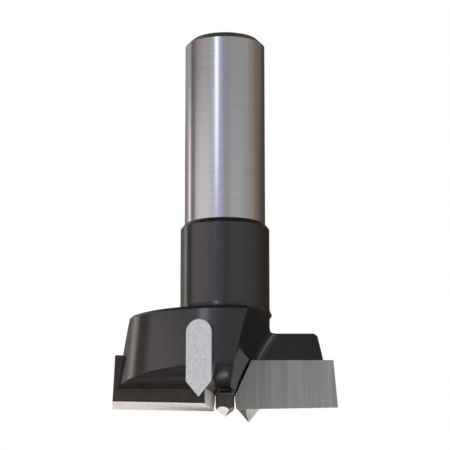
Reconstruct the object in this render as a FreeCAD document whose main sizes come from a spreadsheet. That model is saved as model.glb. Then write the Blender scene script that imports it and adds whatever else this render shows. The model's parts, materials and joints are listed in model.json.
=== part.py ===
import math
import os

import FreeCAD
import Part
import Sketcher


# Driving sizes in millimetres, from the tip of the centre point up the axis.
# The names with "lean" are slopes: sideways travel over height.
SIZES = {
    # Shank and collar
    "overall_length": 60.5,
    "shank_radius": 6.35,
    "shank_chamfer": 1.0,
    "collar_radius": 7.0,
    "collar_top": 30.3,
    "collar_chamfer_height": 0.8,
    "hub_foot": 8.0,
    # Head
    "head_top": 14.87,
    "far_head_top": 13.95,
    "head_top_radius": 15.2,
    "head_chamfer": 0.46,
    "head_foot_radius": 16.95,
    "head_foot": 1.0,
    "ring_fillet": 2.2,
    "far_ring_fillet": 1.5,
    # Ground underside of the head
    "roof_height": 3.65,
    "roof_run": 20.0,
    "roof_rise": 2.87,
    # Steel nose around the centre point
    "nose_foot": 3.3,
    "nose_radius": 1.75,
    "nose_fillet": 1.3,
    # Chip gullets
    "wall_foot": -0.15,
    "wall_lean": 0.2333,
    "rake_lean": 0.2962,
    "gullet_low": -5.0,
    "gullet_high": 25.0,
    "floor_radius": 40.7,
    "floor_reach": 41.1,
    "floor_drop": 6.55,
    "floor_turn": 15.0,
    "floor_width": 60.0,
    "root_fillet": 1.0,
    # Cutter plates
    "cutter_lead": 1.15,
    "cutter_foot": 1.29,
    "cutter_height": 8.1,
    "cutter_thickness": 2.8,
    "cutter_proud": 0.51,
    "cutter_side_taper": 0.56,
    "cutter_edge_drop": 0.31,
    "cutter_axis_drop": 0.345,
    "cutter_top_rise": 0.83,
    "cutter_inner": 1.76,
    "cutter_nick_in": 1.48,
    "cutter_nick_height": 1.86,
    "cutter_inner_top": 4.45,
    "cutter_relief_rise": 1.7,
    "cutter_side_relief": 0.1,
    "cutter_end_relief": 1.6,
    # Spurs
    "spur_proud": 0.25,
    "spur_half": 1.95,
    "spur_depth": 3.0,
    "spur_tip": 0.98,
    "spur_shoulder": 3.32,
    "spur_top": 12.56,
    "spur_turn": 13.0,
    "spur_slot_foot": 2.0,
    # Centre point
    "point_radius": 1.46,
    "point_top": 9.0,
    "point_turn": 18.0,
    # Fits
    "braze_gap": 0.05,
}


def measure(text):
    """Give the value of a sum of driving sizes such as "head_top - head_chamfer"."""
    total = 0.0
    sign = 1.0
    for word in text.split():
        if word == "-":
            sign = -1.0
        elif word == "+":
            sign = 1.0
        elif word[0].isdigit():
            total += sign * float(word)
        else:
            total += sign * SIZES[word]
    return total


def formula(text):
    """Give the same sum as a document expression on the sheet."""
    words = []
    for word in text.split():
        plain = word in ("-", "+") or word[0].isdigit()
        words.append(word if plain else "Sizes." + word)
    return " ".join(words)


def fill_sheet(doc):
    """Write the driving sizes into the document's sheet."""
    sheet = doc.addObject("Spreadsheet::Sheet", "Sizes")
    for row, (name, value) in enumerate(SIZES.items(), start=1):
        sheet.set("A" + str(row), name)
        sheet.set("B" + str(row), str(value))
        sheet.setAlias("B" + str(row), name)
    doc.recompute()


def new_body(doc, label):
    """Add an empty body."""
    body = doc.addObject("PartDesign::Body", label)
    body.Label = label
    return body


def origin_plane(body, role):
    """Find one of the body's own origin planes."""
    for plane in body.Origin.OriginFeatures:
        if plane.Role == role:
            return plane
    raise ValueError("no origin plane " + role)


def bind(sketch, kind, first, place, text):
    """Fix one coordinate of a sketch point to a sum of driving sizes."""
    value = measure(text)
    if abs(value) < 1e-9:
        axis = -2 if kind == "DistanceX" else -1
        sketch.addConstraint(Sketcher.Constraint("PointOnObject", first, place, axis))
        return
    index = sketch.addConstraint(Sketcher.Constraint(kind, -1, 1, first, place, value))
    sketch.setExpression("Constraints[" + str(index) + "]", formula(text))


def outline(body, role, label, corners, arcs=None):
    """Draw a closed outline; arcs maps a corner's number to the centre of the arc that starts there."""
    arcs = arcs or {}
    sketch = body.newObject("Sketcher::SketchObject", label)
    sketch.AttachmentSupport = [(origin_plane(body, role), "")]
    sketch.MapMode = "FlatFace"
    points = []
    for across, up in corners:
        points.append(FreeCAD.Vector(measure(across), measure(up), 0))
    count = len(points)
    for number in range(count):
        start = points[number]
        end = points[(number + 1) % count]
        if number in arcs:
            draw_arc(sketch, start, end, arcs[number])
        else:
            sketch.addGeometry(Part.LineSegment(start, end), False)
    for number in range(count):
        here = end_of(sketch, number, points[(number + 1) % count])
        there = end_of(sketch, (number + 1) % count, points[(number + 1) % count])
        sketch.addConstraint(Sketcher.Constraint("Coincident", number, here, (number + 1) % count, there))
    for number in range(count):
        place = end_of(sketch, number, points[number])
        bind(sketch, "DistanceX", number, place, corners[number][0])
        bind(sketch, "DistanceY", number, place, corners[number][1])
    for number, arc in arcs.items():
        bind(sketch, "DistanceY", number, 3, arc[1])
    return sketch


def draw_arc(sketch, start, end, arc):
    """Add the arc from start to end about a centre, by its shorter way round."""
    centre = FreeCAD.Vector(measure(arc[0]), measure(arc[1]), 0)
    radius = (start - centre).Length
    first = math.atan2(start.y - centre.y, start.x - centre.x)
    last = math.atan2(end.y - centre.y, end.x - centre.x)
    if (last - first) % (2 * math.pi) > math.pi + 1e-6:
        first, last = last, first
    circle = Part.Circle(centre, FreeCAD.Vector(0, 0, 1), radius)
    sketch.addGeometry(Part.ArcOfCircle(circle, first, last), False)


def end_of(sketch, number, point):
    """Say which end of a sketch element lies at a point: 1 for the start, 2 for the end."""
    edge = sketch.Geometry[number]
    near_start = (edge.StartPoint - point).Length
    near_end = (edge.EndPoint - point).Length
    return 1 if near_start < near_end else 2


def revolve(body, sketch, label, angle=360, reverse=False):
    """Turn an outline about the sketch's upright axis."""
    feature = body.newObject("PartDesign::Revolution", label)
    feature.Profile = sketch
    feature.ReferenceAxis = (sketch, ["V_Axis"])
    feature.Angle = angle
    feature.Reversed = reverse
    return feature


def pad(body, sketch, label, text, reverse=False):
    """Give an outline a thickness."""
    feature = body.newObject("PartDesign::Pad", label)
    feature.Profile = sketch
    feature.Length = measure(text)
    feature.setExpression("Length", formula(text))
    feature.Reversed = reverse
    return feature


def pocket_through(body, sketch, label):
    """Cut an outline away through the whole body, both ways."""
    feature = body.newObject("PartDesign::Pocket", label)
    feature.Profile = sketch
    feature.Type = "ThroughAll"
    feature.Midplane = True
    return feature


def head_half(body, label, top, fillet, reverse):
    """Turn one half of the head: the coned rim, its chamfer and the fillet up to the collar."""
    corners = [
        ("0", "head_foot"),
        ("head_foot_radius", "head_foot"),
        ("head_top_radius + head_chamfer", top + " - head_chamfer"),
        ("head_top_radius", top),
        ("collar_radius + " + fillet, top),
        ("collar_radius", top + " + " + fillet),
        ("0", top + " + " + fillet),
    ]
    arcs = {4: ("collar_radius + " + fillet, top + " + " + fillet)}
    sketch = outline(body, "XZ_Plane", label + "_outline", corners, arcs)
    return revolve(body, sketch, label, 180, reverse)


def make_blank(doc):
    """Turn the steel: shank, collar, head and nose, with the ground underside."""
    body = new_body(doc, "steel_blank")
    corners = [
        ("0", "hub_foot"),
        ("collar_radius", "hub_foot"),
        ("collar_radius", "collar_top - collar_chamfer_height"),
        ("shank_radius", "collar_top"),
        ("shank_radius", "overall_length - shank_chamfer"),
        ("shank_radius - shank_chamfer", "overall_length"),
        ("0", "overall_length"),
    ]
    revolve(body, outline(body, "XZ_Plane", "shank_outline", corners), "shank")
    head_half(body, "near_head", "head_top", "ring_fillet", True)
    head_half(body, "far_head", "far_head_top", "far_ring_fillet", False)
    roof = [
        ("0", "roof_height"),
        ("0 - roof_run", "roof_height + roof_rise"),
        ("0 - roof_run", "0 - roof_run"),
        ("roof_run", "0 - roof_run"),
        ("roof_run", "roof_height + roof_rise"),
    ]
    pocket_through(body, outline(body, "YZ_Plane", "underside_outline", roof), "underside")
    nose = [
        ("0", "nose_foot"),
        ("nose_radius", "nose_foot"),
        ("nose_radius + nose_fillet", "nose_foot + nose_fillet"),
        ("0", "nose_foot + nose_fillet"),
    ]
    arcs = {1: ("nose_radius + nose_fillet", "nose_foot")}
    tip = revolve(body, outline(body, "XZ_Plane", "nose_outline", nose, arcs), "nose")
    body.Tip = tip
    return body


def make_gullet(doc, side):
    """Make one chip gullet: two milled walls and the long concave floor between them."""
    label = "gullet_" + str(side)
    turn = FreeCAD.Rotation(FreeCAD.Vector(0, 0, 1), 180 * (side - 1))
    wedge = doc.addObject("Part::Wedge", label + "_walls")
    wall = "Sizes.wall_foot + Sizes.wall_lean * Sizes."
    seat_foot = (
        "(Sizes.cutter_thickness / cos(atan(Sizes.rake_lean)) - Sizes.cutter_lead"
        " - Sizes.cutter_foot * Sizes.rake_lean)"
    )
    seat = "-1 * " + seat_foot + " - Sizes.rake_lean * Sizes."
    bindings = {
        "Xmin": wall + "gullet_low",
        "Xmax": "2 * Sizes.head_foot_radius",
        "X2min": wall + "gullet_high",
        "X2max": "2 * Sizes.head_foot_radius",
        "Ymin": "Sizes.gullet_low",
        "Ymax": "Sizes.gullet_high",
        "Zmin": seat + "gullet_low",
        "Zmax": "2 * Sizes.head_foot_radius",
        "Z2min": seat + "gullet_high",
        "Z2max": "2 * Sizes.head_foot_radius",
    }
    for name, text in bindings.items():
        wedge.setExpression(name, text)
    upright = FreeCAD.Rotation(FreeCAD.Vector(1, 0, 0), 90)
    wedge.Placement = FreeCAD.Placement(FreeCAD.Vector(0, 0, 0), turn.multiply(upright))
    disc = doc.addObject("Part::Cylinder", label + "_floor")
    disc.setExpression("Radius", "Sizes.floor_radius")
    disc.setExpression("Height", "Sizes.floor_width")
    lying = FreeCAD.Rotation(90 - SIZES["floor_turn"], 90, 0)
    disc.Placement = FreeCAD.Placement(FreeCAD.Vector(0, 0, 0), turn.multiply(lying))
    sign = "1" if side == 1 else "-1"
    reach = "Sizes.floor_reach * {0}(Sizes.floor_turn * 1 deg)"
    half = "Sizes.floor_width / 2 * {0}(Sizes.floor_turn * 1 deg)"
    disc.setExpression(
        "Placement.Base.x", sign + " * (" + reach.format("cos") + " - " + half.format("sin") + ")"
    )
    disc.setExpression(
        "Placement.Base.y", sign + " * (-1 * " + reach.format("sin") + " - " + half.format("cos") + ")"
    )
    disc.setExpression("Placement.Base.z", "-1 * Sizes.floor_drop")
    sharp = doc.addObject("Part::Common", label + "_sharp")
    sharp.Base = wedge
    sharp.Tool = disc
    doc.recompute()
    gullet = doc.addObject("Part::Fillet", label)
    gullet.Base = sharp
    radius = SIZES["root_fillet"]
    gullet.Edges = [(root_edge(sharp.Shape), radius, radius)]
    return gullet


def root_edge(shape):
    """Find the edge where a gullet's floor meets the flat that carries the cutter."""
    tilt = math.sin(math.atan(SIZES["rake_lean"]))
    for number, edge in enumerate(shape.Edges, start=1):
        sides = [face.Surface for face in shape.Faces if any(edge.isSame(other) for other in face.Edges)]
        floors = [surface for surface in sides if isinstance(surface, Part.Cylinder)]
        flats = [surface for surface in sides if isinstance(surface, Part.Plane)]
        if floors and flats and abs(abs(flats[0].Axis.z) - tilt) < 0.01:
            return number
    raise ValueError("no root edge")


def place_cutter(body, side):
    """Lean a cutter plate back by the rake and set its edge ahead of the centre line."""
    turn = FreeCAD.Rotation(FreeCAD.Vector(0, 0, 1), 180 * (side - 1))
    rake = math.degrees(math.atan(SIZES["rake_lean"]))
    lean = FreeCAD.Rotation(FreeCAD.Vector(1, 0, 0), -rake)
    base = turn.multVec(FreeCAD.Vector(0, -SIZES["cutter_lead"], SIZES["cutter_foot"]))
    body.Placement = FreeCAD.Placement(base, turn.multiply(lean))
    sign = "-1" if side == 1 else "1"
    body.setExpression("Placement.Base.y", sign + " * Sizes.cutter_lead")
    body.setExpression("Placement.Base.z", "Sizes.cutter_foot")


def make_cutter(doc, side):
    """Make one brazed cutter plate with its ground reliefs."""
    body = new_body(doc, "cutter_" + str(side))
    face = [
        ("cutter_inner", "0 - cutter_edge_drop"),
        ("head_foot_radius + cutter_proud", "0"),
        ("head_foot_radius + cutter_proud - cutter_side_taper", "cutter_height + cutter_top_rise"),
        ("cutter_inner_top", "cutter_height + cutter_top_rise"),
        ("cutter_nick_in", "cutter_nick_height"),
    ]
    sketch = outline(body, "XZ_Plane", "face_outline", face)
    pad(body, sketch, "plate", "cutter_thickness", True)
    above = [
        ("0", "cutter_height"),
        ("cutter_thickness", "cutter_height + cutter_top_rise"),
        ("0", "cutter_height + cutter_top_rise"),
    ]
    pocket_through(body, outline(body, "YZ_Plane", "top_outline", above), "level_top")
    below = [
        ("0", "0 - cutter_axis_drop"),
        ("cutter_thickness", "cutter_relief_rise - cutter_axis_drop"),
        ("cutter_thickness + cutter_thickness", "cutter_relief_rise - cutter_axis_drop"),
        ("cutter_thickness + cutter_thickness", "0 - cutter_thickness"),
        ("0", "0 - cutter_thickness"),
    ]
    relief = pocket_through(body, outline(body, "YZ_Plane", "edge_relief_outline", below), "edge_relief")
    relief.AlongSketchNormal = False
    relief.UseCustomVector = True
    relief.Direction = FreeCAD.Vector(measure("head_foot_radius + cutter_proud"), 0, SIZES["cutter_axis_drop"])
    flank = [
        ("head_foot_radius + cutter_proud", "0"),
        ("head_foot_radius + cutter_proud + cutter_thickness", "0"),
        ("head_foot_radius + cutter_proud + cutter_thickness", "cutter_thickness + cutter_thickness"),
        ("head_foot_radius + cutter_proud - cutter_side_relief", "cutter_thickness + cutter_thickness"),
        ("head_foot_radius + cutter_proud - cutter_side_relief", "cutter_thickness"),
    ]
    pocket_through(body, outline(body, "XY_Plane", "side_relief_outline", flank), "side_relief")
    inner = [
        ("cutter_nick_in", "0"),
        ("cutter_nick_in + cutter_end_relief", "cutter_thickness"),
        ("cutter_nick_in + cutter_end_relief", "cutter_thickness + cutter_thickness"),
        ("0 - cutter_thickness", "cutter_thickness + cutter_thickness"),
        ("0 - cutter_thickness", "0"),
    ]
    tip = pocket_through(body, outline(body, "XY_Plane", "end_relief_outline", inner), "end_relief")
    body.Tip = tip
    place_cutter(body, side)
    return body


def make_seat(doc, side):
    """Make the slot that a cutter plate is brazed into, open towards the edge and the rim."""
    body = new_body(doc, "seat_" + str(side))
    slot = [
        ("cutter_nick_in - braze_gap", "0 - head_foot_radius"),
        ("head_foot_radius + head_foot_radius", "0 - head_foot_radius"),
        ("head_foot_radius + head_foot_radius", "cutter_height + cutter_top_rise + braze_gap"),
        ("cutter_inner_top - braze_gap", "cutter_height + cutter_top_rise + braze_gap"),
        ("cutter_nick_in - braze_gap", "cutter_nick_height"),
    ]
    sketch = outline(body, "XZ_Plane", "slot_outline", slot)
    pad(body, sketch, "slot", "cutter_thickness", True)
    above = [
        ("0", "cutter_height + braze_gap"),
        ("cutter_thickness", "cutter_height + cutter_top_rise + braze_gap"),
        ("0", "cutter_height + cutter_top_rise + braze_gap"),
    ]
    pocket_through(body, outline(body, "YZ_Plane", "slot_top_outline", above), "slot_top")
    inner = [
        ("cutter_nick_in - braze_gap", "0"),
        ("cutter_nick_in + cutter_end_relief - braze_gap", "cutter_thickness"),
        ("cutter_nick_in + cutter_end_relief - braze_gap", "cutter_thickness + cutter_thickness"),
        ("0 - cutter_thickness", "cutter_thickness + cutter_thickness"),
        ("0 - cutter_thickness", "0"),
    ]
    tip = pocket_through(body, outline(body, "XY_Plane", "slot_end_outline", inner), "slot_end")
    body.Tip = tip
    place_cutter(body, side)
    return body


def place_spur(body, side):
    """Turn a spur to its place on the rim, with its face outwards."""
    turn = FreeCAD.Rotation(FreeCAD.Vector(0, 0, 1), 180 * (side - 1) - SIZES["spur_turn"])
    base = turn.multVec(FreeCAD.Vector(0, -measure("head_foot_radius + spur_proud"), 0))
    body.Placement = FreeCAD.Placement(base, turn)
    sign = "-1" if side == 1 else "1"
    reach = sign + " * (Sizes.head_foot_radius + Sizes.spur_proud)"
    body.setExpression("Placement.Base.x", reach + " * sin(Sizes.spur_turn * 1 deg)")
    body.setExpression("Placement.Base.y", reach + " * cos(Sizes.spur_turn * 1 deg)")


def make_spur(doc, side):
    """Make one scoring spur: a round-topped plate ground to a point on its outer face."""
    body = new_body(doc, "spur_" + str(side))
    face = [
        ("0", "spur_tip"),
        ("spur_half", "spur_shoulder"),
        ("spur_half", "spur_top - spur_half"),
        ("0 - spur_half", "spur_top - spur_half"),
        ("0 - spur_half", "spur_shoulder"),
    ]
    arcs = {2: ("0", "spur_top - spur_half")}
    sketch = outline(body, "XZ_Plane", "face_outline", face, arcs)
    pad(body, sketch, "plate", "spur_depth", True)
    below = [
        ("0", "spur_tip"),
        ("spur_half + spur_half", "spur_shoulder + spur_shoulder - spur_tip"),
        ("spur_half + spur_half", "0 - spur_depth - spur_depth"),
        ("0 - spur_half - spur_half", "0 - spur_depth - spur_depth"),
        ("0 - spur_half - spur_half", "spur_shoulder + spur_shoulder - spur_tip"),
    ]
    bevel = body.newObject("PartDesign::Pocket", "bevel")
    bevel.Profile = outline(body, "XZ_Plane", "bevel_outline", below)
    bevel.UseCustomVector = True
    bevel.Direction = FreeCAD.Vector(0, 1, 1)
    bevel.AlongSketchNormal = False
    bevel.Length = 2 * measure("spur_depth")
    bevel.setExpression("Length", "2 * Sizes.spur_depth")
    body.Tip = bevel
    place_spur(body, side)
    return body


def make_spur_slot(doc, side):
    """Make the round-topped slot that a spur is brazed into, open at its foot."""
    body = new_body(doc, "spur_slot_" + str(side))
    face = [
        ("spur_half + braze_gap", "0 - spur_slot_foot"),
        ("spur_half + braze_gap", "spur_top - spur_half"),
        ("0 - spur_half - braze_gap", "spur_top - spur_half"),
        ("0 - spur_half - braze_gap", "0 - spur_slot_foot"),
    ]
    arcs = {1: ("0", "spur_top - spur_half")}
    sketch = outline(body, "XZ_Plane", "slot_outline", face, arcs)
    body.Tip = pad(body, sketch, "slot", "spur_depth", True)
    place_spur(body, side)
    return body


def make_point(doc):
    """Make the centre point: a pin ground to a four-sided tip."""
    body = new_body(doc, "centre_point")
    corners = [
        ("0", "0"),
        ("point_radius", "0"),
        ("point_radius", "point_top"),
        ("0", "point_top"),
    ]
    pin = outline(body, "XZ_Plane", "pin_outline", corners)
    revolve(body, pin, "pin")
    below = [
        ("0", "0"),
        ("point_radius + point_radius", "point_radius + point_radius"),
        ("point_radius + point_radius", "0 - point_radius"),
        ("0", "0 - point_radius"),
    ]
    facet = pocket_through(body, outline(body, "XZ_Plane", "facet_outline", below), "facet")
    facets = body.newObject("PartDesign::PolarPattern", "facets")
    facets.Originals = [facet]
    facets.Axis = (pin, ["V_Axis"])
    facets.Angle = 360
    facets.Occurrences = 4
    body.Tip = facets
    turn = FreeCAD.Rotation(FreeCAD.Vector(0, 0, 1), -SIZES["point_turn"])
    body.Placement = FreeCAD.Placement(FreeCAD.Vector(0, 0, 0), turn)
    return body


def make_body(doc):
    """Cut the gullets, slots and pin hole from the turned steel."""
    blank = make_blank(doc)
    tools = []
    for side in (1, 2):
        tools.append(make_gullet(doc, side))
        tools.append(make_seat(doc, side))
        tools.append(make_spur_slot(doc, side))
    hole = doc.addObject("Part::Cylinder", "pin_hole")
    hole.setExpression("Radius", "Sizes.point_radius + Sizes.braze_gap")
    hole.setExpression("Height", "Sizes.point_top")
    tools.append(hole)
    removed = doc.addObject("Part::MultiFuse", "removed")
    removed.Shapes = tools
    body = doc.addObject("Part::Cut", "body")
    body.Base = blank
    body.Tool = removed
    return body


def export(doc, nodes):
    """Check every object, then write each node's solid."""
    for item in doc.Objects:
        if "Invalid" in item.State or "Error" in item.State:
            raise RuntimeError("not computed: " + item.Label)
    os.makedirs("parts", exist_ok=True)
    for node in nodes:
        shape = node.Shape
        if shape.isNull() or not shape.isValid() or len(shape.Solids) != 1:
            raise RuntimeError("not one sound solid: " + node.Label)
        shape.exportStep("parts/" + node.Label + ".step")
        print(node.Label, round(shape.Volume, 2), "mm3,", len(shape.Faces), "faces")


def main():
    """Build the bit and write its nodes."""
    doc = FreeCAD.newDocument("forstner_bit")
    fill_sheet(doc)
    nodes = [make_body(doc)]
    for side in (1, 2):
        nodes.append(make_cutter(doc, side))
        nodes.append(make_spur(doc, side))
    nodes.append(make_point(doc))
    doc.recompute()
    export(doc, nodes)


main()
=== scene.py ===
"""A forstner bit on white: ground shank, black-coated head, brazed carbide, and a plain studio."""

import json
import logging
import math
from dataclasses import dataclass
from enum import Enum, IntEnum

import bmesh
import bpy
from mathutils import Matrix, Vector

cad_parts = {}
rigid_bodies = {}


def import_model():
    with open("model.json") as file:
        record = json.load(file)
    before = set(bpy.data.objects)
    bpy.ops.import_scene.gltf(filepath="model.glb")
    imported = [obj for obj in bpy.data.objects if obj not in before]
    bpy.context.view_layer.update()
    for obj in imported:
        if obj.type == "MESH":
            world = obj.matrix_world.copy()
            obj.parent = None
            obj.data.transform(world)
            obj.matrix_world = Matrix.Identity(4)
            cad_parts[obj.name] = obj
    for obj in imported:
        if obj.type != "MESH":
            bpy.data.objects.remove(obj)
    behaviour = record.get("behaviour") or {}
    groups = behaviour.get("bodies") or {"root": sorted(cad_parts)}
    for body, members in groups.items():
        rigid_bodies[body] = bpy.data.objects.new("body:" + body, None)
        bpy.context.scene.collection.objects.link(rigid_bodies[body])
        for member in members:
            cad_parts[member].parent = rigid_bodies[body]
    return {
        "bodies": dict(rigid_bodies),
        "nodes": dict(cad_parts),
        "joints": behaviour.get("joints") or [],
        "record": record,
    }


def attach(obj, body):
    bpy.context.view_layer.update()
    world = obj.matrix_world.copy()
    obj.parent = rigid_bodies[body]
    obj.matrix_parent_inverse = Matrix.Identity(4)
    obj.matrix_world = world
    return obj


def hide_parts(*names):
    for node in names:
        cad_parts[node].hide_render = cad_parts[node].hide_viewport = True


LOG = logging.getLogger("forstner_bit")
MM = 0.001
Colour = tuple[float, float, float]
Place = tuple[float, float, float]
Stops = tuple[tuple[float, float, Colour], ...]
WHITE: Colour = (1.0, 1.0, 1.0)
PLAIN: Colour = (1.0, 0.99, 0.985)
WARM: Colour = (1.0, 0.86, 0.76)
SOFT: Colour = (1.0, 0.935, 0.925)
COOL: Colour = (0.88, 0.91, 1.0)
BLUE: Colour = (0.78, 0.82, 1.0)


class Slot(Enum):
    """The record's material slots."""

    STEEL = "steel_body"
    PLATE = "carbide_plate"
    SPUR = "carbide_spur"
    POINT = "point_steel"


class Grain(Enum):
    """The way a ground surface's fine lines run, as the axis they follow."""

    UPRIGHT = (1.0, 0.02, 0.02)
    AROUND = (0.02, 0.02, 1.0)
    EVEN = (1.0, 1.0, 1.0)


class PlateFace(IntEnum):
    """The kinds of face on a cutter plate, in the order of its materials."""

    FRONT = 0
    UNTOUCHED = 1
    RELIEF = 2
    INNER_END = 3


class PointFace(IntEnum):
    """The kinds of face on the centre point, in the order of its materials."""

    TIP = 0
    PIN = 1


def linear(red: float, green: float, blue: float) -> Colour:
    """Turn a screen colour of 0 to 255 into the linear light that the shaders use.

    Args:
        red: The red value on screen.
        green: The green value on screen.
        blue: The blue value on screen.

    Returns:
        The same colour as linear light from 0 to 1.
    """
    light = []
    for value in (red, green, blue):
        share = value / 255
        light.append(share / 12.92 if share <= 0.04045 else ((share + 0.055) / 1.055) ** 2.4)
    return light[0], light[1], light[2]


def opaque(source: object) -> object:
    """Give a plain colour its fourth value, and leave anything else as it is.

    Args:
        source: A colour of three values, a socket or a number.

    Returns:
        The colour with four values, or the source itself.
    """
    return (*source, 1.0) if isinstance(source, tuple) and len(source) == 3 else source


class Graph:
    """A small helper that adds and links nodes in one tree."""

    def __init__(self, tree: bpy.types.NodeTree) -> None:
        """Keep the tree that the nodes go into."""
        self.tree = tree

    @classmethod
    def cleared(cls, owner: bpy.types.Material | bpy.types.World) -> "Graph":
        """Turn on the nodes of a material or a world, and clear them.

        Args:
            owner: The material or the world.

        Returns:
            A helper for the empty tree.
        """
        owner.use_nodes = True
        owner.node_tree.nodes.clear()
        return cls(owner.node_tree)

    def add(self, kind: str, **settings: object) -> bpy.types.Node:
        """Add a node and set its properties.

        Args:
            kind: The node's type name.
            settings: Properties to set on the node.

        Returns:
            The new node.
        """
        node = self.tree.nodes.new(kind)
        for name, value in settings.items():
            setattr(node, name, value)
        return node

    def feed(self, target: bpy.types.NodeSocket, source: object) -> None:
        """Link a socket into another, or set the value where the source is a plain number.

        Args:
            target: The input socket.
            source: An output socket, a number or a tuple.
        """
        if isinstance(source, bpy.types.NodeSocket):
            self.tree.links.new(source, target)
        else:
            target.default_value = source

    def math(self, operation: str, *sources: object) -> bpy.types.NodeSocket:
        """Add a Math node.

        Args:
            operation: The operation's name.
            sources: Its values or sockets, in order.

        Returns:
            The result socket.
        """
        node = self.add("ShaderNodeMath", operation=operation)
        for socket, source in zip(node.inputs, sources):
            self.feed(socket, source)
        return node.outputs[0]

    def ramp(self, value: object, low: float, high: float) -> bpy.types.NodeSocket:
        """Map a range smoothly to 0 to 1, held at both ends.

        Args:
            value: The socket to map.
            low: Where the change starts.
            high: Where the change ends.

        Returns:
            The result socket.
        """
        node = self.add("ShaderNodeMapRange", interpolation_type="SMOOTHSTEP")
        for name, source in (("Value", value), ("From Min", low), ("From Max", high)):
            self.feed(node.inputs[name], source)
        return node.outputs[0]

    def blend(self, share: object, first: object, second: object) -> bpy.types.NodeSocket:
        """Mix two numbers.

        Args:
            share: How much of the second number.
            first: The first number or socket.
            second: The second number or socket.

        Returns:
            The mixed number's socket.
        """
        node = self.add("ShaderNodeMix", data_type="FLOAT")
        for number, source in ((0, share), (2, first), (3, second)):
            self.feed(node.inputs[number], source)
        return node.outputs[0]

    def mix(self, share: object, first: object, second: object) -> bpy.types.NodeSocket:
        """Mix two colours.

        Args:
            share: How much of the second colour.
            first: The first colour or socket.
            second: The second colour or socket.

        Returns:
            The mixed colour socket.
        """
        node = self.add("ShaderNodeMix", data_type="RGBA")
        colours = [socket for socket in node.inputs if socket.type == "RGBA"]
        self.feed(node.inputs[0], share)
        for socket, source in zip(colours, (first, second)):
            self.feed(socket, opaque(source))
        return next(socket for socket in node.outputs if socket.type == "RGBA")

    def place(self) -> bpy.types.NodeSocket:
        """Give the place on the object, in its own frame."""
        return self.add("ShaderNodeTexCoord").outputs["Object"]

    def axes(self) -> bpy.types.bpy_prop_collection:
        """Give the place on the object as three numbers.

        Returns:
            The X, Y and Z outputs.
        """
        node = self.add("ShaderNodeSeparateXYZ")
        self.feed(node.inputs[0], self.place())
        return node.outputs

    def seen(self, *kinds: str) -> bpy.types.NodeSocket:
        """Mask what some kinds of ray see.

        Args:
            kinds: The names of the Light Path outputs, two or more.

        Returns:
            The mask socket, 1 for those rays.
        """
        rays = self.add("ShaderNodeLightPath").outputs
        mask = rays[kinds[0]]
        for kind in kinds[1:]:
            mask = self.math("MAXIMUM", mask, rays[kind])
        return mask


class EffectGroup(Graph):
    """A node group that several finishes share, which puts out plain numbers."""

    def __init__(self, name: str, inputs: dict[str, str], outputs: tuple[str, ...]) -> None:
        """Start the group with its sockets.

        Args:
            name: The group's name.
            inputs: The socket type for each input's name.
            outputs: The names of the outputs.
        """
        super().__init__(bpy.data.node_groups.new(name, "ShaderNodeTree"))
        for title, kind in inputs.items():
            self.tree.interface.new_socket(title, in_out="INPUT", socket_type=kind)
        for title in outputs:
            self.tree.interface.new_socket(title, in_out="OUTPUT", socket_type="NodeSocketFloat")
        self.entry = self.add("NodeGroupInput").outputs
        self.leave = self.add("NodeGroupOutput").inputs

    def noise(self, place: object, scale: object, detail: float, roughness: float) -> bpy.types.NodeSocket:
        """Add a noise texture.

        Args:
            place: The socket with the place on the object.
            scale: The scale, as a socket or a number.
            detail: How many finer layers it has.
            roughness: How strong the finer layers are.

        Returns:
            The value socket.
        """
        node = self.add("ShaderNodeTexNoise")
        settings = {"Vector": place, "Scale": scale, "Detail": detail, "Roughness": roughness}
        for name, source in settings.items():
            self.feed(node.inputs[name], source)
        return node.outputs[0]


@dataclass(frozen=True)
class SurfaceLines:
    """Fine lines left by a grinding wheel or a lathe tool.

    The density is roughly how many lines there are in a metre.
    """

    fine_detail: float = 4.0
    coarse_detail: float = 2.0
    coarse_scale: float = 0.22
    roughness: float = 0.6
    coarse_share: float = 0.6
    tone_range: tuple[float, float] = (0.35, 0.65)

    def build(self) -> bpy.types.NodeTree:
        """Build the group.

        Returns:
            A group whose Height and Tone vary across the lines, and whose Stretch input sets which way they run.
        """
        inputs = {"Stretch": "NodeSocketVector", "Density": "NodeSocketFloat"}
        group = EffectGroup("surface_lines", inputs, ("Height", "Tone"))
        stretch = group.add("ShaderNodeVectorMath", operation="MULTIPLY")
        group.feed(stretch.inputs[0], group.place())
        group.feed(stretch.inputs[1], group.entry["Stretch"])
        across = stretch.outputs[0]
        density = group.entry["Density"]
        wide = group.math("MULTIPLY", density, self.coarse_scale)
        fine = group.noise(across, density, self.fine_detail, self.roughness)
        coarse = group.noise(across, wide, self.coarse_detail, self.roughness)
        group.feed(group.leave["Height"], fine)
        both = group.blend(self.coarse_share, fine, coarse)
        group.feed(group.leave["Tone"], group.ramp(both, *self.tone_range))
        return group.tree


@dataclass(frozen=True)
class SurfaceMottle:
    """The unevenness of a skin: cloudy patches and fine pits."""

    detail: float = 5.0
    roughness: float = 0.5
    patch_range: tuple[float, float] = (0.35, 0.65)
    pit_range: tuple[float, float] = (0.3, 0.7)

    def build(self) -> bpy.types.NodeTree:
        """Build the group.

        Returns:
            A group with Patches and Pits outputs.
        """
        inputs = {"Patch Scale": "NodeSocketFloat", "Pit Scale": "NodeSocketFloat"}
        group = EffectGroup("surface_mottle", inputs, ("Patches", "Pits"))
        place = group.place()
        patches = group.noise(place, group.entry["Patch Scale"], self.detail, self.roughness)
        pits = group.noise(place, group.entry["Pit Scale"], self.detail, self.roughness)
        group.feed(group.leave["Patches"], group.ramp(patches, *self.patch_range))
        group.feed(group.leave["Pits"], group.ramp(pits, *self.pit_range))
        return group.tree


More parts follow.
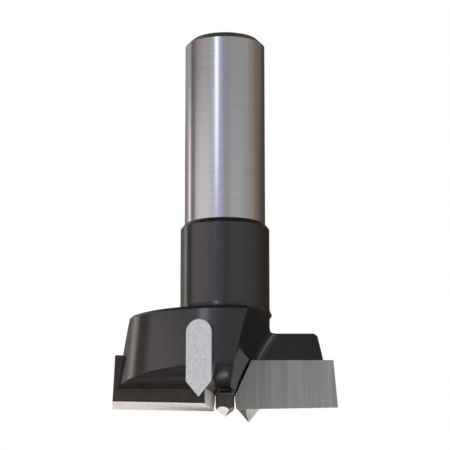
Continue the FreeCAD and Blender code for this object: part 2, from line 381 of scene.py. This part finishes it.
@dataclass(frozen=True)
class Effects:
    """The node groups that several finishes share."""

    lines: bpy.types.NodeTree
    mottle: bpy.types.NodeTree

    @classmethod
    def build(cls) -> "Effects":
        """Build each shared group once."""
        return cls(SurfaceLines().build(), SurfaceMottle().build())


class Shader:
    """One material's nodes around a Principled shader."""

    def __init__(self, name: str) -> None:
        """Start a material that has the Principled shader alone.

        Args:
            name: The material's name.
        """
        self.material = bpy.data.materials.new(name)
        self.graph = Graph.cleared(self.material)
        self.principled = self.graph.add("ShaderNodeBsdfPrincipled")
        self.surface = self.graph.add("ShaderNodeOutputMaterial").inputs["Surface"]
        self.graph.feed(self.surface, self.principled.outputs[0])

    def set(self, **sources: object) -> None:
        """Feed inputs of the Principled shader, named with _ for a space.

        Args:
            sources: A number, colour or socket for each input.
        """
        for name, source in sources.items():
            self.graph.feed(self.principled.inputs[name.replace("_", " ")], opaque(source))

    def effect(self, group: bpy.types.NodeTree, **values: object) -> bpy.types.bpy_prop_collection:
        """Place a shared effect in this material.

        Args:
            group: The effect's node group.
            values: A value for each input that it uses here, named with _ for a space.

        Returns:
            The group's outputs.
        """
        node = self.graph.add("ShaderNodeGroup", node_tree=group)
        for name, value in values.items():
            node.inputs[name.replace("_", " ")].default_value = value
        return node.outputs

    def bump(self, height: object, depth: float) -> bpy.types.NodeSocket:
        """Turn a height into a normal.

        Args:
            height: The height socket.
            depth: The depth in metres.

        Returns:
            The normal socket.
        """
        node = self.graph.add("ShaderNodeBump")
        for name, source in (("Height", height), ("Strength", 1.0), ("Distance", depth)):
            self.graph.feed(node.inputs[name], source)
        return node.outputs[0]


@dataclass(frozen=True)
class ShankAndHeadSteel:
    """Steel that is ground bright on the shank and black with oxide from the collar down."""

    bright: Colour = linear(204, 202, 204)
    bright_low: Colour = linear(199, 197, 198)
    bright_roughness: float = 0.15
    bright_spread: float = 0.02
    line_density: float = 16000.0
    oxide: Colour = linear(20, 18, 18)
    oxide_thin: Colour = linear(27, 24, 23)
    oxide_patches: float = 0.5
    oxide_roughness: float = 0.13
    oxide_spread: float = 0.03
    patch_scale: float = 420.0
    pit_scale: float = 5200.0
    pit_height: float = 0.35
    bump_depth: float = 0.00013 * MM
    refraction: float = 1.76
    coat_top: float = 30.28 * MM
    coat_blend: float = 0.06 * MM

    def build(self, effects: Effects) -> bpy.types.Material:
        """Build the material.

        Args:
            effects: The shared node groups.

        Returns:
            The finished material.
        """
        shader = Shader("shank_and_head_steel")
        graph = shader.graph
        half = self.coat_blend / 2
        bare = graph.ramp(graph.axes()["Z"], self.coat_top - half, self.coat_top + half)
        turned = shader.effect(effects.lines, Stretch=Grain.AROUND.value, Density=self.line_density)
        film = shader.effect(effects.mottle, Patch_Scale=self.patch_scale, Pit_Scale=self.pit_scale)
        polish = graph.mix(turned["Tone"], self.bright_low, self.bright)
        thin = graph.math("MULTIPLY", film["Patches"], self.oxide_patches)
        black = graph.mix(thin, self.oxide, self.oxide_thin)
        rough_oxide = graph.math("MULTIPLY_ADD", film["Patches"], self.oxide_spread, self.oxide_roughness)
        rough_bright = graph.math("MULTIPLY_ADD", turned["Tone"], self.bright_spread, self.bright_roughness)
        pits = graph.math("MULTIPLY", film["Pits"], self.pit_height)
        shader.set(
            Base_Color=graph.mix(bare, black, polish),
            Metallic=bare,
            IOR=self.refraction,
            Roughness=graph.blend(bare, rough_oxide, rough_bright),
            Normal=shader.bump(graph.blend(bare, pits, turned["Height"]), self.bump_depth),
        )
        return shader.material


@dataclass(frozen=True)
class GroundCarbide:
    """Carbide as the diamond wheel leaves it: pale grey with fine lines."""

    name: str
    grain: Grain
    pale: Colour
    dark: Colour
    density: float
    roughness: float
    metal: float = 0.85
    grit_scale: float = 9000.0
    grit_spread: float = 0.06
    line_depth: float = 0.008 * MM

    def build(self, effects: Effects) -> bpy.types.Material:
        """Build the material.

        Args:
            effects: The shared node groups.

        Returns:
            The finished material.
        """
        shader = Shader(self.name)
        lines = shader.effect(effects.lines, Stretch=self.grain.value, Density=self.density)
        grit = shader.effect(effects.mottle, Pit_Scale=self.grit_scale)
        shader.set(
            Base_Color=shader.graph.mix(lines["Tone"], self.dark, self.pale),
            Metallic=self.metal,
            Roughness=shader.graph.math("MULTIPLY_ADD", grit["Pits"], self.grit_spread, self.roughness),
            Normal=shader.bump(lines["Height"], self.line_depth),
        )
        return shader.material


@dataclass(frozen=True)
class SinteredCarbide:
    """Carbide faces that no wheel has touched, brown-black from the brazing heat."""

    dark: Colour = linear(72, 66, 64)
    brown: Colour = linear(80, 73, 69)
    metal: float = 0.2
    roughness: float = 0.34
    patch_spread: float = 0.1
    patch_scale: float = 700.0
    pit_scale: float = 6500.0
    pit_depth: float = 0.012 * MM

    def build(self, effects: Effects) -> bpy.types.Material:
        """Build the material.

        Args:
            effects: The shared node groups.

        Returns:
            The finished material.
        """
        shader = Shader("carbide_sintered")
        skin = shader.effect(effects.mottle, Patch_Scale=self.patch_scale, Pit_Scale=self.pit_scale)
        shader.set(
            Base_Color=shader.graph.mix(skin["Patches"], self.dark, self.brown),
            Metallic=self.metal,
            Roughness=shader.graph.math("MULTIPLY_ADD", skin["Patches"], self.patch_spread, self.roughness),
            Normal=shader.bump(skin["Pits"], self.pit_depth),
        )
        return shader.material


FRONT_GRIND = GroundCarbide(
    "carbide_ground", Grain.UPRIGHT, linear(216, 216, 214), linear(196, 196, 194), density=5200.0, roughness=0.3
)
RELIEF_GRIND = GroundCarbide(
    "carbide_bright", Grain.UPRIGHT, linear(224, 222, 220), linear(214, 212, 210), density=7000.0, roughness=0.26
)
SPUR_GRIND = GroundCarbide(
    "carbide_spur", Grain.EVEN, linear(224, 221, 215), linear(202, 200, 195), density=17000.0, roughness=0.20
)
# Painted sheen: the plates' inner ends get a near-white, non-metal copy of the ground carbide, so the lamps light them
# white where the real metallic face shows a bright reflection.
END_PAINTED_SHEEN = GroundCarbide(
    "carbide_end_painted_sheen", Grain.EVEN, linear(248, 247, 244), linear(238, 237, 234), density=9000.0, roughness=0.3, metal=0.0
)


@dataclass(frozen=True)
class Finishes:
    """The materials of the whole tool."""

    steel: bpy.types.Material
    front: bpy.types.Material
    relief: bpy.types.Material
    spur: bpy.types.Material
    # The plates' inner ends, in the painted-sheen pale copy of the ground carbide.
    end: bpy.types.Material
    sintered: bpy.types.Material

    @classmethod
    def build(cls, effects: Effects) -> "Finishes":
        """Build each material once.

        Args:
            effects: The shared node groups.

        Returns:
            The finished materials.
        """
        recipes = (ShankAndHeadSteel(), FRONT_GRIND, RELIEF_GRIND, SPUR_GRIND, END_PAINTED_SHEEN, SinteredCarbide())
        return cls(*(recipe.build(effects) for recipe in recipes))


@dataclass(frozen=True)
class EdgeBreak:
    """The small rounding that real edges have."""

    width: float = 0.06 * MM
    segments: int = 2
    weld: float = 0.001 * MM
    tangent: float = math.radians(5)
    flat: float = 0.002

    def dress(self, piece: bpy.types.Object) -> None:
        """Weld and flatten a piece's mesh, and round the edges where its CAD faces meet at an angle.

        Args:
            piece: The new piece.
        """
        mesh = bmesh.new()
        mesh.from_mesh(piece.data)
        for edge in mesh.edges:
            edge.smooth = not edge.is_boundary
        bmesh.ops.remove_doubles(mesh, verts=mesh.verts, dist=self.weld)
        for edge in mesh.edges:
            if not edge.smooth and edge.calc_face_angle(0.0) < self.tangent:
                edge.smooth = True
        bmesh.ops.dissolve_limit(mesh, angle_limit=self.flat, verts=mesh.verts, edges=mesh.edges, delimit={"SHARP"})
        weight = mesh.edges.layers.float.new("bevel_weight_edge")
        for edge in mesh.edges:
            edge[weight] = 0.0 if edge.smooth else 1.0
        for facet in mesh.faces:
            facet.smooth = True
        mesh.to_mesh(piece.data)
        mesh.free()
        bevel = piece.modifiers.new("edge_break", "BEVEL")
        bevel.width = self.width
        bevel.segments = self.segments
        bevel.limit_method = "WEIGHT"
        bevel.harden_normals = True
        bevel.use_clamp_overlap = True


@dataclass(frozen=True)
class Piece:
    """A piece of the tool that stands for one CAD node."""

    node: str
    slot: Slot
    edges: EdgeBreak = EdgeBreak()

    def build(self, frame: dict, *finishes: bpy.types.Material) -> bpy.types.Object:
        """Copy the node's shape into a new piece with softened edges.

        Args:
            finishes: The piece's materials in order.

        Returns:
            The new piece.
        """
        mesh = frame["nodes"][self.node].data.copy()
        mesh.name = f"{self.node}_piece"
        mesh.materials.clear()
        if "custom_normal" in mesh.attributes:
            mesh.attributes.remove(mesh.attributes["custom_normal"])
        piece = bpy.data.objects.new(f"{self.node}_piece", mesh)
        bpy.context.scene.collection.objects.link(piece)
        self.edges.dress(piece)
        for finish in finishes:
            mesh.materials.append(finish)
        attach(piece, "root")
        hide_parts(self.node)
        LOG.info("%s: %d vertices, %d faces", piece.name, len(mesh.vertices), len(mesh.polygons))
        return piece


@dataclass(frozen=True)
class Body(Piece):
    """The shank, the collar and the head, one piece of steel."""

    node: str = "body"
    slot: Slot = Slot.STEEL

    def make(self, frame: dict, finishes: Finishes) -> None:
        """Build and dress the body.

        Args:
            finishes: The tool's materials.
        """
        self.build(frame, finishes.steel)


@dataclass(frozen=True)
class Plate(Piece):
    """A brazed cutter plate, ground on its front and its reliefs."""

    slot: Slot = Slot.PLATE
    front: Place = (0.0, -1.0, 0.0)
    facing: float = 0.5
    sideways: float = 0.7
    inner_end: float = 6 * MM

    def kind(self, facet: bpy.types.MeshPolygon) -> PlateFace:
        """Tell which kind of face a facet belongs to.

        Args:
            facet: A facet of the plate's mesh.

        Returns:
            The kind, which is also the number of its material.
        """
        if facet.normal.dot(Vector(self.front)) > self.facing:
            return PlateFace.FRONT
        is_end = abs(facet.normal.x) > self.sideways
        if is_end and abs(facet.center.x) < self.inner_end:
            return PlateFace.INNER_END
        if is_end or facet.normal.z < -self.facing:
            return PlateFace.RELIEF
        return PlateFace.UNTOUCHED

    def make(self, frame: dict, finishes: Finishes) -> None:
        """Build the plate and give each face its finish.

        Args:
            finishes: The tool's materials.
        """
        # The inner ends take the painted-sheen pale copy of the ground carbide, not their own metallic grey.
        piece = self.build(frame, finishes.front, finishes.sintered, finishes.relief, finishes.end)
        for facet in piece.data.polygons:
            facet.material_index = self.kind(facet)
        piece.modifiers["edge_break"].material = PlateFace.RELIEF


@dataclass(frozen=True)
class Spur(Piece):
    """A brazed spur that scores the hole's rim."""

    slot: Slot = Slot.SPUR

    def make(self, frame: dict, finishes: Finishes) -> None:
        """Build and dress the spur.

        Args:
            finishes: The tool's materials.
        """
        self.build(frame, finishes.spur)


@dataclass(frozen=True)
class CentrePoint(Piece):
    """The pressed-in centre point with its ground facets."""

    node: str = "centre_point"
    slot: Slot = Slot.POINT
    facing: float = 0.2

    def make(self, frame: dict, finishes: Finishes) -> None:
        """Build the point and give each face its finish.

        Args:
            finishes: The tool's materials.
        """
        piece = self.build(frame, finishes.relief, finishes.sintered)
        for facet in piece.data.polygons:
            facet.material_index = PointFace.TIP if facet.normal.z < -self.facing else PointFace.PIN


@dataclass(frozen=True)
class ForstnerBit:
    """The whole tool."""

    pieces: tuple[Body | Plate | Spur | CentrePoint, ...] = (
        Body(),
        Plate("cutter_1"),
        Plate("cutter_2", front=(0.0, 1.0, 0.0)),
        Spur("spur_1"),
        Spur("spur_2"),
        CentrePoint(),
    )

    def build(self, frame: dict) -> None:
        """Build the materials once, and then each piece.
        """
        finishes = Finishes.build(Effects.build())
        for piece in self.pieces:
            piece.make(frame, finishes)


def new_object(name: str, data: bpy.types.ID) -> bpy.types.Object:
    """Put a camera, a lamp or a mesh into the scene.

    Args:
        name: The object's name.
        data: What it shows.

    Returns:
        The new object.
    """
    thing = bpy.data.objects.new(name, data)
    bpy.context.scene.collection.objects.link(thing)
    return thing


def studio_shape(name: str, mesh: bmesh.types.BMesh, material: bpy.types.Material) -> bpy.types.Object:
    """Put a finished mesh of the studio into the scene.

    Args:
        name: The object's name.
        mesh: The mesh, which is freed here.
        material: Its material.

    Returns:
        The new object.
    """
    data = bpy.data.meshes.new(name)
    mesh.to_mesh(data)
    mesh.free()
    data.materials.append(material)
    return new_object(name, data)


def flat_sheet(
    name: str, left: float, right: float, near: float, far: float, level: float, material: bpy.types.Material
) -> bpy.types.Object:
    """Lay a flat rectangle that faces up.

    Args:
        name: The object's name.
        left: Its least X.
        right: Its greatest X.
        near: Its least Y.
        far: Its greatest Y.
        level: Its height.
        material: Its material.

    Returns:
        The new object.
    """
    mesh = bmesh.new()
    corners = ((left, near), (right, near), (right, far), (left, far))
    mesh.faces.new([mesh.verts.new((x, y, level)) for x, y in corners])
    return studio_shape(name, mesh, material)


@dataclass(frozen=True)
class Lamp:
    """A rectangular soft box aimed at the tool. Azimuths run from the camera's side toward +X, in degrees."""

    name: str
    azimuth: float
    height: float
    distance: float
    width: float
    tall: float
    power: float
    tint: Colour
    in_reflections: bool = True
    upright: bool = False

    def build(self, aim: Place) -> None:
        """Place the soft box.

        Args:
            aim: The point that it faces.
        """
        data = bpy.data.lights.new(self.name, "AREA")
        data.shape = "RECTANGLE"
        data.size, data.size_y, data.energy = self.width, self.tall, self.power
        data.color = self.tint
        lamp = new_object(self.name, data)
        turn = math.radians(self.azimuth)
        lamp.location = (math.sin(turn) * self.distance, -math.cos(turn) * self.distance, self.height)
        target = Vector((*aim[:2], self.height if self.upright else aim[2]))
        lamp.rotation_euler = (target - lamp.location).to_track_quat("-Z", "Y").to_euler()
        lamp.visible_glossy = self.in_reflections


@dataclass(frozen=True)
class Camera:
    """The camera, pitched up at the tool from a little below it."""

    eye: Place = (0.0, -0.290, -0.0336)
    pitch: float = 11.35
    lens: float = 150.4
    sensor: float = 36.0
    shift: float = 0.08
    clip: tuple[float, float] = (0.01, 50.0)

    def build(self) -> None:
        """Put the camera where the photograph was taken from."""
        data = bpy.data.cameras.new("camera")
        data.lens = self.lens
        data.sensor_width = self.sensor
        data.shift_y = self.shift
        data.clip_start, data.clip_end = self.clip
        camera = new_object("camera", data)
        camera.location = self.eye
        camera.rotation_euler = (math.radians(90 + self.pitch), 0.0, 0.0)
        bpy.context.scene.camera = camera


@dataclass(frozen=True)
class Surround:
    """A world that is white to the camera and to gloss, and a plain level for the rest."""

    seen_level: float = 1.0
    lit_level: float = 0.55

    def build(self) -> None:
        """Set the world up."""
        world = bpy.data.worlds.new("studio_world")
        bpy.context.scene.world = world
        graph = Graph.cleared(world)
        seen = graph.seen("Is Camera Ray", "Is Glossy Ray", "Is Transmission Ray")
        back = graph.add("ShaderNodeBackground")
        graph.feed(back.inputs["Color"], opaque(WHITE))
        gain = self.seen_level - self.lit_level
        graph.feed(back.inputs["Strength"], graph.math("MULTIPLY_ADD", seen, gain, self.lit_level))
        graph.feed(graph.add("ShaderNodeOutputWorld").inputs["Surface"], back.outputs[0])


@dataclass(frozen=True)
class Tent:
    """A ring of soft panels round the tool, which only its reflections and light show.

    Each stop gives an azimuth in degrees, a level and a tint. The low stops hold up to the change, the high ones above.
    """

    radius: float = 0.62
    panels: int = 96
    foot: float = 0.05
    bend: float = 0.33
    top: float = 0.62
    shoulder_share: float = 0.85
    roof_share: float = 0.4
    roof_level: float = 0.07
    change: tuple[float, float] = (0.20, 0.24)
    low_stops: Stops = (
        (-180, 0.12, PLAIN), (-165, 0.14, PLAIN), (-148, 0.32, PLAIN), (-134, 0.40, PLAIN), (-122, 1.60, WARM),
        (-112, 0.26, PLAIN), (-102, 0.24, PLAIN), (-88, 0.82, SOFT), (-72, 0.96, SOFT), (-52, 0.94, SOFT),
        (-35, 0.90, BLUE), (-13, 0.72, BLUE), (3, 0.42, PLAIN), (22, 0.56, PLAIN), (44, 0.55, PLAIN),
        (62, 0.44, PLAIN), (80, 0.42, WARM), (104, 0.24, WARM), (118, 0.14, WARM), (142, 0.08, WARM),
        (165, 0.10, WARM), (180, 0.12, PLAIN),
    )
    high_stops: Stops = (
        (-180, 0.42, PLAIN), (-166, 0.26, PLAIN), (-146, 0.44, PLAIN), (-126, 0.50, PLAIN), (-108, 0.18, WARM),
        (-94, 0.30, WARM), (-84, 0.38, SOFT), (-60, 0.46, PLAIN), (-44, 0.50, COOL), (-36, 0.66, COOL),
        (-26, 0.85, COOL), (-15, 0.86, BLUE), (-5, 0.52, BLUE), (4, 0.40, PLAIN), (20, 0.41, PLAIN),
        (66, 0.44, PLAIN), (80, 0.38, WARM), (104, 0.24, WARM), (124, 0.20, WARM), (142, 0.07, WARM),
        (165, 0.12, WARM), (180, 0.42, PLAIN),
    )

    def build(self) -> None:
        """Stand the panels in a ring, and close it with a roof."""
        mesh = bmesh.new()
        shoulder = (self.bend + self.top) / 2
        rings = ((self.foot, 1.0), (self.bend, 1.0), (shoulder, self.shoulder_share), (self.top, self.roof_share))
        rows = []
        for level, share in rings:
            ring = []
            reach = self.radius * share
            for step in range(self.panels):
                turn = 2 * math.pi * step / self.panels
                ring.append(mesh.verts.new((math.sin(turn) * reach, -math.cos(turn) * reach, level)))
            rows.append(ring)
        for lower, upper in zip(rows, rows[1:]):
            for step in range(self.panels):
                after = (step + 1) % self.panels
                mesh.faces.new((lower[step], upper[step], upper[after], lower[after]))
        mesh.faces.new(rows[-1])
        tent = studio_shape("light_tent", mesh, self.cloth())
        tent.visible_camera = False
        tent.visible_shadow = False

    def cloth(self) -> bpy.types.Material:
        """Build the panels' glow, which changes round the ring.

        Returns:
            The panels' material.
        """
        material = bpy.data.materials.new("tent_cloth")
        graph = Graph.cleared(material)
        axes = graph.axes()
        turn = graph.math("ARCTAN2", axes["X"], graph.math("MULTIPLY", axes["Y"], -1.0))
        share = graph.math("MULTIPLY_ADD", turn, 0.5 / math.pi, 0.5)
        low, high = (self.round_ramp(graph, share, stops) for stops in (self.low_stops, self.high_stops))
        walls = graph.mix(graph.ramp(axes["Z"], *self.change), low, high)
        roof = graph.ramp(axes["Z"], self.bend, self.top)
        level = self.roof_level
        glow = graph.add("ShaderNodeEmission")
        graph.feed(glow.inputs["Color"], graph.mix(roof, walls, (level, level, level)))
        graph.feed(graph.add("ShaderNodeOutputMaterial").inputs["Surface"], glow.outputs[0])
        return material

    def round_ramp(self, graph: Graph, share: bpy.types.NodeSocket, stops: Stops) -> bpy.types.NodeSocket:
        """Colour the ring by its azimuth.

        Args:
            graph: The material's nodes.
            share: The azimuth from 0 to 1.
            stops: The stops, from -180 degrees up.

        Returns:
            The colour socket.
        """
        ramp = graph.add("ShaderNodeValToRGB")
        graph.feed(ramp.inputs[0], share)
        ramp.color_ramp.interpolation = "EASE"
        points = ramp.color_ramp.elements
        while len(points) > 1:
            points.remove(points[0])
        for number, (azimuth, level, tint) in enumerate(stops):
            place = (azimuth + 180) / 360
            point = points[0] if number == 0 else points.new(place)
            point.position = place
            point.color = (*(level * part for part in tint), 1.0)
        return ramp.outputs[0]


@dataclass(frozen=True)
class Floor:
    """The pale floor well below the tool, white to the camera and in metal."""

    level: float = -0.12
    reach: float = 3.0
    pale: Colour = (0.85, 0.85, 0.85)
    roughness: float = 0.9
    glow: float = 0.55

    def build(self) -> None:
        """Lay the floor."""
        floor = flat_sheet("floor", -self.reach, self.reach, -self.reach, self.reach, self.level, self.paint())

    def paint(self) -> bpy.types.Material:
        """Build the floor's material, which lets light through from below.

        Returns:
            The floor's material.
        """
        paint = Shader("pale_floor")
        graph = paint.graph
        shine = graph.math("MULTIPLY", graph.seen("Is Camera Ray", "Is Glossy Ray"), self.glow)
        paint.set(Base_Color=self.pale, Roughness=self.roughness, Emission_Color=WHITE, Emission_Strength=shine)
        under = graph.add("ShaderNodeMixShader")
        graph.feed(under.inputs[0], graph.add("ShaderNodeNewGeometry").outputs["Backfacing"])
        graph.feed(under.inputs[1], paint.principled.outputs[0])
        graph.feed(under.inputs[2], graph.add("ShaderNodeBsdfTransparent").outputs[0])
        graph.feed(paint.surface, under.outputs[0])
        return paint.material


@dataclass(frozen=True)
class Cards:
    """Black cards just above the floor, so that the tool's undersides reflect dark.

    Each gives its name, its least and greatest X, and its least and greatest Y.
    """

    black: Colour = (0.02, 0.02, 0.02)
    roughness: float = 0.9
    lift: float = 0.005
    places: tuple[tuple[str, float, float, float, float], ...] = (
        ("front_card", -0.60, 0.60, -0.60, -0.07),
        ("back_card", -0.60, 0.60, 0.20, 0.62),
        ("far_card", -0.60, 2.00, 0.62, 2.90),
        ("left_card", -0.60, -0.10, 0.08, 0.20),
        ("right_card", 0.06, 0.13, -0.07, 0.08),
    )

    def build(self, floor_level: float) -> None:
        """Lay the cards.

        Args:
            floor_level: The floor's height.
        """
        paint = Shader("black_card")
        paint.set(Base_Color=self.black, Roughness=self.roughness)
        for name, left, right, near, far in self.places:
            card = flat_sheet(name, left, right, near, far, floor_level + self.lift, paint.material)
            card.visible_camera = False
            card.visible_diffuse = False
            card.visible_shadow = False


@dataclass(frozen=True)
class Studio:
    """The camera, the world, the light tent, the floor with its cards, and the soft boxes."""

    camera: Camera = Camera()
    surround: Surround = Surround()
    tent: Tent = Tent()
    floor: Floor = Floor()
    cards: Cards = Cards()
    aim: Place = (0.0, 0.0, 0.03)
    lamps: tuple[Lamp, ...] = (
        Lamp("key_strip", azimuth=-24.0, height=0.325, distance=0.56, width=0.10, tall=0.30,
             power=0.13, tint=BLUE, upright=True),
        Lamp("side_lamp", azimuth=-82.0, height=0.12, distance=0.50, width=0.35, tall=0.3,
             power=2.2, tint=WARM, in_reflections=False),
        Lamp("right_fill", azimuth=60.0, height=0.25, distance=0.50, width=0.4, tall=0.4,
             power=0.7, tint=PLAIN, in_reflections=False),
        Lamp("back_fill", azimuth=180.0, height=0.30, distance=0.50, width=0.4, tall=0.4,
             power=0.9, tint=PLAIN, in_reflections=False),
    )

    def build(self) -> None:
        """Set the whole studio up."""
        bpy.context.scene.view_settings.view_transform = "Standard"
        self.camera.build()
        self.surround.build()
        self.tent.build()
        self.floor.build()
        self.cards.build(self.floor.level)
        for lamp in self.lamps:
            lamp.build(self.aim)
        LOG.info("studio: camera, world, tent, floor, cards and lamps are in place")


def main(frame: dict) -> None:
    """Build the studio and the tool in order.
    """
    logging.basicConfig(level=logging.INFO, format="%(name)s: %(message)s")
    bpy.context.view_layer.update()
    Studio().build()
    ForstnerBit().build(frame)
    bpy.context.view_layer.update()


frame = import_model()

if __name__ == "__main__":
    main(frame)
